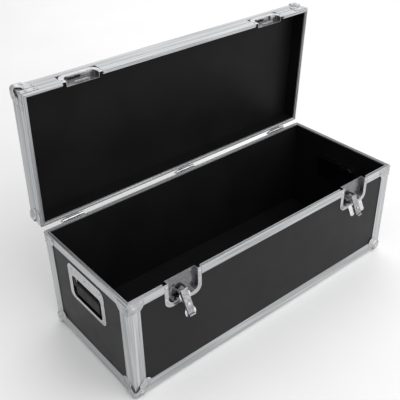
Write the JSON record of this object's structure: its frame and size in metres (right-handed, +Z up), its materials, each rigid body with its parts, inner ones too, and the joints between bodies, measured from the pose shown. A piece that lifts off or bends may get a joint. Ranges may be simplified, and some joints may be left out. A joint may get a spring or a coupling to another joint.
{
  "type": "transport case",
  "caption": "Long black transport case edged with aluminium profiles and ball corners, with a hinged lid standing open, twist latches with swing hooks and recessed end handles.",
  "frame": {"origin": "on the floor, under the middle of the box round the case with its lid open", "axes": "+X along the length of the case to its right end, +Y from the latches to the hinges, +Z up"},
  "size_m": [0.8388, 0.4221, 0.6152],
  "materials": {
    "black_laminate": "satin black phenolic laminate on plywood",
    "aluminium_profile": "satin extruded",
    "plated_pressing": "bright plated pressing",
    "bright_plated_steel": "bright plated",
    "zinc_plated_steel": "zinc plated",
    "black_grip": "matte moulded"
  },
  "bodies": {
    "base": {"base_ball_corners": "zinc_plated_steel", "base_bottom_panel": "black_laminate", "base_front_bottom_angle": "aluminium_profile", "base_front_left_corner_angle": "aluminium_profile", "base_front_panel": "black_laminate", "base_front_right_corner_angle": "aluminium_profile", "base_front_rim": "aluminium_profile", "base_hinge_leaves": "zinc_plated_steel", "base_left_bottom_angle": "aluminium_profile", "base_left_panel": "black_laminate", "base_left_rim": "aluminium_profile", "base_rear_bottom_angle": "aluminium_profile", "base_rear_left_corner_angle": "aluminium_profile", "base_rear_panel": "black_laminate", "base_rear_right_corner_angle": "aluminium_profile", "base_rear_rim": "aluminium_profile", "base_right_bottom_angle": "aluminium_profile", "base_right_panel": "black_laminate", "base_right_rim": "aluminium_profile", "base_rim_braces": "zinc_plated_steel", "base_rivets": "zinc_plated_steel", "hinge_pins": "zinc_plated_steel", "latch_pins": "zinc_plated_steel", "left_handle_dish": "plated_pressing", "left_latch_dish": "plated_pressing", "right_handle_dish": "plated_pressing", "right_latch_dish": "plated_pressing"},
    "lid": {"left_keeper_dish": "plated_pressing", "lid_ball_corners": "zinc_plated_steel", "lid_front_angle": "aluminium_profile", "lid_front_panel": "black_laminate", "lid_front_rim": "aluminium_profile", "lid_hinge_leaves": "zinc_plated_steel", "lid_left_angle": "aluminium_profile", "lid_left_panel": "black_laminate", "lid_left_rim": "aluminium_profile", "lid_rear_angle": "aluminium_profile", "lid_rear_panel": "black_laminate", "lid_rear_rim": "aluminium_profile", "lid_right_angle": "aluminium_profile", "lid_right_panel": "black_laminate", "lid_right_rim": "aluminium_profile", "lid_rim_braces": "zinc_plated_steel", "lid_rivets": "zinc_plated_steel", "lid_top_panel": "black_laminate", "right_keeper_dish": "plated_pressing"},
    "left_latch_arm": {"left_latch_arm": "bright_plated_steel"},
    "left_latch_hook": {"left_latch_hook": "bright_plated_steel"},
    "left_latch_butterfly": {"left_latch_butterfly": "bright_plated_steel"},
    "left_handle": {"left_handle_bail": "bright_plated_steel", "left_handle_grip": "black_grip"},
    "right_latch_arm": {"right_latch_arm": "bright_plated_steel"},
    "right_latch_hook": {"right_latch_hook": "bright_plated_steel"},
    "right_latch_butterfly": {"right_latch_butterfly": "bright_plated_steel"},
    "right_handle": {"right_handle_bail": "bright_plated_steel", "right_handle_grip": "black_grip"}
  },
  "joints": [
    {"name": "lid_turn", "type": "hinge", "parent": "base", "child": "lid", "pos_m": [0, 0.15702, 0.2704], "axis": [1, 0, 0], "range_deg": [0, 87]},
    {"name": "left_arm_swing", "type": "hinge", "parent": "base", "child": "left_latch_arm", "pos_m": [-0.274, -0.17748, 0.2304], "axis": [-1, 0, 0], "range_deg": [0, 152]},
    {"name": "left_butterfly_turn", "type": "hinge", "parent": "left_latch_arm", "child": "left_latch_butterfly", "pos_m": [-0.274, -0.19203, 0.20303], "axis": [0, -0.8829, 0.4695], "range_deg": [0, 90]},
    {"name": "left_hook_slide", "type": "slide", "parent": "left_latch_arm", "child": "left_latch_hook", "axis": [0, 0.4695, 0.8829], "range_m": [0, 0.006]},
    {"name": "left_handle_swing", "type": "hinge", "parent": "base", "child": "left_handle", "pos_m": [-0.406, -0.01548, 0.2034], "axis": [0, 1, 0], "range_deg": [0, 100]},
    {"name": "right_arm_swing", "type": "hinge", "parent": "base", "child": "right_latch_arm", "pos_m": [0.274, -0.17748, 0.2304], "axis": [-1, 0, 0], "range_deg": [0, 152]},
    {"name": "right_butterfly_turn", "type": "hinge", "parent": "right_latch_arm", "child": "right_latch_butterfly", "pos_m": [0.274, -0.19203, 0.20303], "axis": [0, -0.8829, 0.4695], "range_deg": [-90, 0]},
    {"name": "right_hook_slide", "type": "slide", "parent": "right_latch_arm", "child": "right_latch_hook", "axis": [0, 0.4695, 0.8829], "range_m": [-0.006, 0]},
    {"name": "right_handle_swing", "type": "hinge", "parent": "base", "child": "right_handle", "pos_m": [0.406, -0.01548, 0.2034], "axis": [0, -1, 0], "range_deg": [0, 100]}
  ],
  "couplings": [
    {"joint": "left_butterfly_turn", "follows": "left_hook_slide", "rad_per_m": 261.8},
    {"joint": "right_butterfly_turn", "follows": "right_hook_slide", "rad_per_m": 261.8}
  ]
}
